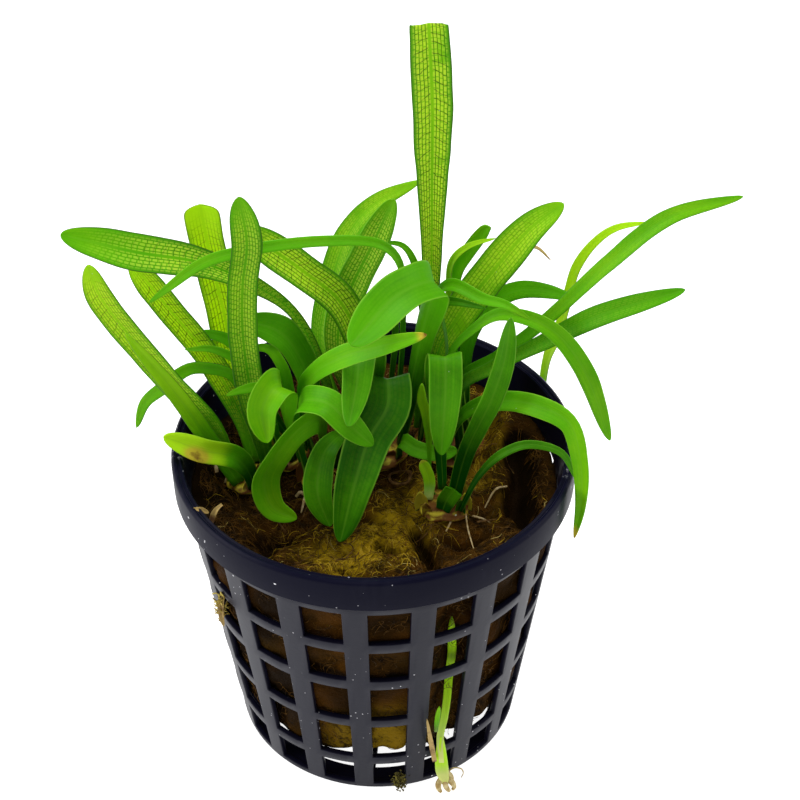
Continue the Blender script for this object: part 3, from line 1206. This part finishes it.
    def side_strand(self, dice, thick):
        angle, z = dice.uniform(0, math.tau), dice.uniform(0.0085, 0.039)
        heading, lift = dice.uniform(0, math.tau), dice.uniform(-0.5, 0.1) * MM
        curl, step = dice.gauss(0, 0.4), dice.uniform(0.25, 0.6) * MM
        points = []
        for k in range(STRAND_POINTS):
            radius = wool_side(z) - 0.25 * MM + lift * math.sin(math.pi * k / (STRAND_POINTS - 1))
            points.append((radius * math.sin(angle), -radius * math.cos(angle), z))
            heading += curl
            angle += step * math.cos(heading) / radius
            z = min(max(z + step * math.sin(heading), 0.0082), 0.0395)
        return points, [thick * dice.uniform(0.6, 1.4)] * STRAND_POINTS


class SAGITTARIA_OT_crowns(Operator):
    """Sets the crowns and their sheaths on the wool"""

    bl_idname = "sagittaria.crowns"
    bl_label = "Crowns"

    def execute(self, context):
        finish = leaf_finish(context.scene.sagittaria_leaf, "Leaf bases")
        for seed, (name, crown) in enumerate(CROWNS.items()):
            bm = bmesh.new()
            for key in MARKS:
                bm.verts.layers.float.new(key)
            self.swell(bm, crown, seed)
            self.wrap(bm, crown, seed)
            add_piece(name + "_sheaths", bm, finish, "crown", name)
        return {"FINISHED"}

    def swell(self, bm, crown, seed):
        """The lumpy base that the sheaths stand round."""
        x, y, radius = crown
        bmesh.ops.create_icosphere(bm, subdivisions=4, radius=1)
        age, tone = bm.verts.layers.float["age"], bm.verts.layers.float["tone"]
        for v in bm.verts:
            bulge = 1 + 0.16 * noise.noise(v.co * 2.2 + Vector((seed, 0, 0)))
            v[age] = 0.75 + 0.5 * noise.noise(v.co * 3)
            v[tone] = 0.1
            px, py, pz = v.co
            place = (x + px * radius * bulge, y + py * radius * bulge, CROWN_HEIGHT + 1.1 * bulge * pz)
            v.co = Vector(place) * MM

    def wrap(self, bm, crown, seed):
        x, y, radius = crown
        dice = random.Random(seed)
        for k in range(SHEATHS):
            turn = math.tau * (k + dice.uniform(-0.3, 0.3)) / SHEATHS
            reach = radius * dice.uniform(0.5, 0.9)
            foot = Vector((x + reach * math.sin(turn), y - reach * math.cos(turn), CROWN_HEIGHT - 0.4))
            lean = Vector((math.sin(turn), -math.cos(turn), 0)) * dice.uniform(-0.3, 0.8)
            rise = Vector((0, 0, dice.uniform(1.6, 3.8)))
            sheath = dict(
                route=[foot, foot + lean * 0.3 + rise * 0.5, foot + lean + rise],
                wide=dice.uniform(1.2, 2.2), foot=0.9, tip=0.5, fold=0.25, thick=0.5, sound=0,
                tone=dice.uniform(0.05, 0.35), age=dice.choice((0.05, 0.35, 0.75, 1)), glow=0.1,
            )
            grow_blade(bm, sheath, 0.25 * MM, seed * 10 + k, 10)


class SAGITTARIA_OT_leaves(Operator):
    """Grows the leaves, each along its own route"""

    bl_idname = "sagittaria.leaves"
    bl_label = "Leaves"

    def execute(self, context):
        settings = context.scene.sagittaria_leaf
        green = leaf_finish(settings, "Leaf")
        for seed, (name, leaf) in enumerate(LEAVES.items()):
            add_blade(name + "_blade", leaf, settings.thickness, seed, green, "leaf", name)
        dry = dry_finish()
        for seed, (name, leaf) in enumerate(DRY.items(), 90):
            add_blade(name + "_blade", leaf, 0.2 * MM, seed, dry, "dead", name, section=12)
        return {"FINISHED"}


class SAGITTARIA_OT_shoot(Operator):
    """Grows the young shoot at the front of the pot, with its base and rootlets"""

    bl_idname = "sagittaria.shoot"
    bl_label = "Young Shoot"

    def execute(self, context):
        green = leaf_finish(context.scene.sagittaria_leaf, "Shoot")
        for seed, (name, leaf) in enumerate(SHOOT.items(), 70):
            add_blade(name + "_blade", leaf, 0.35 * MM, seed, green, "leaf", name)
        add_blade("shoot_base", SHOOT_BASE, 0.8 * MM, 75, green, "crown", "shoot_crown")
        strands = [root_strand(points, thick) for points, thick in SHOOT_ROOTS]
        tubes("shoot_roots", strands, root_finish("Shoot roots"), "crown", 3)
        return {"FINISHED"}


def root_strand(route, thick, steps=14):
    """A rootlet along a route, swelling and narrowing a little."""
    points, _ = route_points(route, [i / steps for i in range(steps + 1)])
    radii = [
        thick * MM * (1 + 0.25 * noise.noise(point * 900)) * (1 - 0.5 * (i / steps) ** 3)
        for i, point in enumerate(points)
    ]
    return points, radii


class SAGITTARIA_OT_litter(Operator):
    """Scatters the roots, flakes and tufts of moss that lie on the pot"""

    bl_idname = "sagittaria.litter"
    bl_label = "Roots and Litter"

    def execute(self, context):
        dice = random.Random(3)
        for kind, roots in (("pale", PALE_ROOTS), ("dark", DARK_ROOTS)):
            strands = [root_strand(map(self.rest, route), thick, 20) for route, thick in roots]
            if kind == "dark":
                strands += [self.loose_root(dice) for _ in range(40)]
            tubes(kind + "_roots", strands, root_finish(kind.title() + " roots"), "crown", 2)
        dry = dry_finish()
        for index, (route, wide) in enumerate(FLAKES):
            flake = dict(route=route, wide=wide, tip=0.6, fold=0.3, thick=0.15)
            add_blade(f"dry_flake_{index + 1}", flake, 0.12 * MM, 40 + index, dry, "dead", section=8)
        for name, *shape in TUFTS:
            tubes(name + "_tuft", self.tuft(dice, *shape), root_finish(name.title()), "wool")
        return {"FINISHED"}

    def tuft(self, dice, centre, spread, reach, count):
        strands = []
        for _ in range(count):
            point = Vector(centre) + Vector([dice.gauss(0, 0.4) * share for share in spread])
            heading = Vector((dice.gauss(0, 1), dice.gauss(0, 1), dice.gauss(0, 1))).normalized()
            route = [point + heading * reach * k + Vector((0, 0, 0.1 * math.sin(k))) for k in range(4)]
            route = [Vector((p.x, p.y, max(p.z, 0.15))) for p in route]
            strands.append(root_strand(route, dice.uniform(0.07, 0.15), 5))
        return strands

    def rest(self, point):
        """A point whose height is given above the wool."""
        x, y, above = point
        return (x, y, wool_height(x * MM, y * MM) / MM + above)

    def loose_root(self, dice):
        angle, radius = dice.uniform(0, math.tau), dice.uniform(5, 21)
        start = Vector((radius * math.sin(angle), -radius * math.cos(angle)))
        heading = dice.uniform(0, math.tau)
        route = []
        for _ in range(5):
            route.append(self.rest((start.x, start.y, dice.uniform(-0.1, 0.5))))
            heading += dice.gauss(0, 0.7)
            start += Vector((math.cos(heading), math.sin(heading))) * dice.uniform(0.6, 1.6)
            if start.length > 22.5:
                start *= 22.5 / start.length
        return root_strand(route, dice.uniform(0.05, 0.1))


class SAGITTARIA_OT_stage(Operator):
    """Lays the pale floor and sets the soft lights and the camera"""

    bl_idname = "sagittaria.stage"
    bl_label = "Stage"

    def execute(self, context):
        settings = context.scene.sagittaria_stage
        self.lay_floor(context, settings)
        world = bpy.data.worlds.new("Soft white")
        world.use_nodes = True
        background = world.node_tree.nodes["Background"].inputs
        background["Color"].default_value = (1, 1, 1, 1)
        background["Strength"].default_value = WORLD_LIGHT
        context.scene.world = world
        for name, place, size, share in LIGHTS:
            light = bpy.data.lights.new(name, "AREA")
            light.size = size
            light.energy = settings.key * share
            lamp = bpy.data.objects.new(name, light)
            lamp.location = place
            lamp.rotation_euler = (Vector(LIGHT_TARGET) - Vector(place)).to_track_quat("-Z", "Y").to_euler()
            context.scene.collection.objects.link(lamp)
        self.set_camera(context)
        context.scene.view_settings.view_transform = "Standard"
        return {"FINISHED"}

    def lay_floor(self, context, settings):
        finish = Finish("Pale floor")
        shader = finish.shader(
            base_color=tuple(settings.floor), roughness=0.9, emission_color=(1, 1, 1, 1),
            emission_strength=FLOOR_GLOW,
        )
        bm = bmesh.new()
        bmesh.ops.create_grid(bm, x_segments=1, y_segments=1, size=FLOOR_HALF)
        mesh = bpy.data.meshes.new("floor")
        bm.to_mesh(mesh)
        bm.free()
        mesh.materials.append(finish.surface(shader))
        floor = bpy.data.objects.new("floor", mesh)
        context.scene.collection.objects.link(floor)

    def set_camera(self, context):
        elevation, roll = math.radians(ELEVATION), math.radians(ROLL)
        forward = Vector((0, math.cos(elevation), -math.sin(elevation)))
        right = Matrix.Rotation(-roll, 3, forward) @ Vector((1, 0, 0))
        up = right.cross(forward)
        camera = bpy.data.cameras.new("Camera")
        camera.sensor_fit = "HORIZONTAL"
        camera.lens = camera.sensor_width * FOCAL_PIXELS / FRAME_PIXELS
        camera.clip_start = 0.01
        holder = bpy.data.objects.new("Camera", camera)
        turn = Matrix((right, up, -forward)).transposed().to_4x4()
        place = Vector(CAMERA_TARGET) * MM - forward * CAMERA_DISTANCE
        holder.matrix_world = Matrix.Translation(place) @ turn
        context.scene.collection.objects.link(holder)
        context.scene.camera = holder


class SAGITTARIA_PT_panel(Panel):
    """Lists the steps that build the plant, with their settings"""

    bl_label = "Sagittaria"
    bl_idname = "SAGITTARIA_PT_panel"
    bl_space_type = "VIEW_3D"
    bl_region_type = "UI"
    bl_category = "Sagittaria"

    def draw(self, context):
        for name, group, steps in SECTIONS:
            box = self.layout.box()
            box.label(text=name)
            settings = getattr(context.scene, group)
            for key in settings.bl_rna.properties.keys():
                if key not in ("rna_type", "name"):
                    box.prop(settings, key)
            for step in steps:
                box.operator(step)


SECTIONS = (
    ("Pot", "sagittaria_pot", ("sagittaria.pot",)),
    ("Wool", "sagittaria_wool", ("sagittaria.wool",)),
    ("Plant", "sagittaria_leaf", (
        "sagittaria.crowns", "sagittaria.leaves", "sagittaria.shoot", "sagittaria.litter",
    )),
    ("Stage", "sagittaria_stage", ("sagittaria.stage",)),
)
GROUPS = {
    "sagittaria_pot": PotSettings,
    "sagittaria_wool": WoolSettings,
    "sagittaria_leaf": LeafSettings,
    "sagittaria_stage": StageSettings,
}
CLASSES = (
    PotSettings, WoolSettings, LeafSettings, StageSettings,
    SAGITTARIA_OT_pot, SAGITTARIA_OT_wool, SAGITTARIA_OT_crowns, SAGITTARIA_OT_leaves, SAGITTARIA_OT_shoot,
    SAGITTARIA_OT_litter, SAGITTARIA_OT_stage, SAGITTARIA_PT_panel,
)


def register():
    for item in CLASSES:
        bpy.utils.register_class(item)
    for name, group in GROUPS.items():
        setattr(bpy.types.Scene, name, PointerProperty(type=group))


def unregister():
    for name in GROUPS:
        delattr(bpy.types.Scene, name)
    for item in reversed(CLASSES):
        bpy.utils.unregister_class(item)


def main():
    register()
    bpy.ops.sagittaria.pot()
    bpy.ops.sagittaria.wool()
    bpy.ops.sagittaria.crowns()
    bpy.ops.sagittaria.leaves()
    bpy.ops.sagittaria.shoot()
    bpy.ops.sagittaria.litter()
    bpy.ops.sagittaria.stage()


if __name__ == "__main__":
    main()
